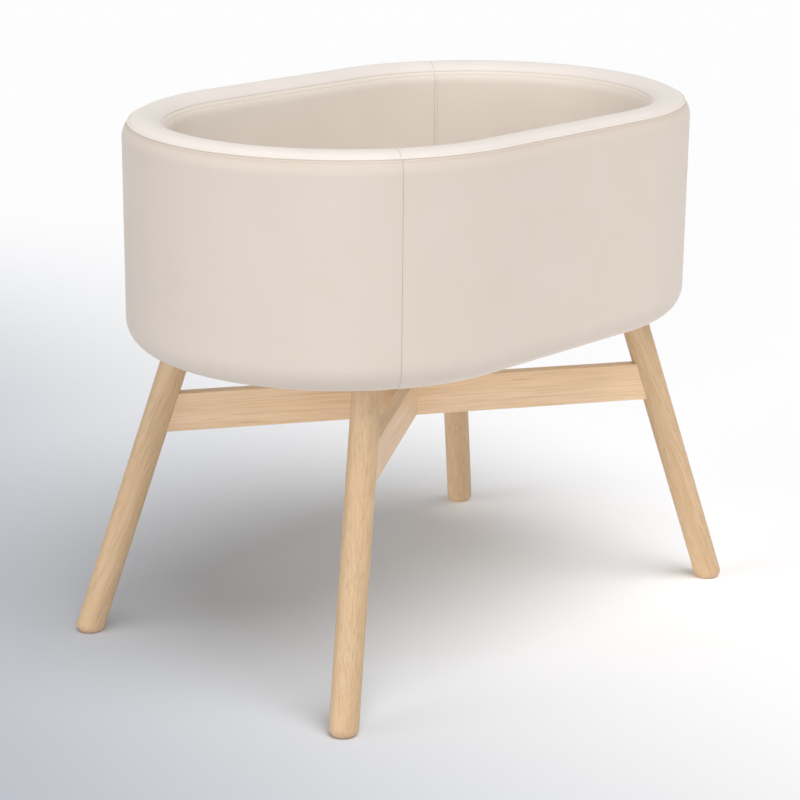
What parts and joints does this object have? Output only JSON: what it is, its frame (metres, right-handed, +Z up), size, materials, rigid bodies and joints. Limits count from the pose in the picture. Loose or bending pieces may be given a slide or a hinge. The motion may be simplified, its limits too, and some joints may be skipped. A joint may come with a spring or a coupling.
{
  "type": "bassinet on stand",
  "caption": "Stadium-shaped upholstered bassinet with piped, rounded rim and loose mattress, on a fixed stand of splayed round beech legs tied by crossed rails.",
  "frame": {"origin": "on the floor under the middle of the basket", "axes": "+X along the basket, +Y across it towards the rear, +Z up"},
  "size_m": [0.8498, 0.567, 0.72],
  "materials": {
    "beech": "natural beech, matt clear lacquer",
    "plywood": "bare birch plywood",
    "foam": "cut polyurethane foam",
    "upholstery": "smooth cream vegan leather, soft sheen",
    "lining": "smooth cream vegan leather, soft sheen",
    "piping": "cream vegan leather over cord",
    "dust_cover": "non-woven polypropylene sheet",
    "steel": "zinc plated",
    "mattress_foam": "cut polyurethane foam",
    "mattress_fabric": "plain off-white cotton"
  },
  "bodies": {
    "bassinet": {"leg_front_left": "beech", "leg_front_right": "beech", "leg_rear_left": "beech", "leg_rear_right": "beech", "cross_rail_over": "beech", "cross_rail_under": "beech", "base_board": "plywood", "wall_shell": "plywood", "outer_foam": "foam", "inner_foam": "foam", "rim_foam": "foam", "outer_panel_front": "upholstery", "outer_panel_rear": "upholstery", "outer_panel_left": "upholstery", "outer_panel_right": "upholstery", "rim_strip_front": "upholstery", "rim_strip_rear": "upholstery", "rim_strip_left": "upholstery", "rim_strip_right": "upholstery", "lining_front": "lining", "lining_rear": "lining", "lining_left": "lining", "lining_right": "lining", "floor_lining": "lining", "piping": "piping", "dust_cover": "dust_cover", "leg_bolts": "steel", "leg_washers": "steel", "leg_inserts": "steel", "cross_lap_screw": "steel", "wall_screws": "steel"},
    "mattress": {"mattress_core": "mattress_foam", "mattress_cover_top": "mattress_fabric", "mattress_cover_base": "mattress_fabric"}
  },
  "joints": [
    {"name": "mattress_lift", "type": "slide", "parent": "bassinet", "child": "mattress", "axis": [0, 0, 1], "range_m": [0, 0.3]}
  ]
}
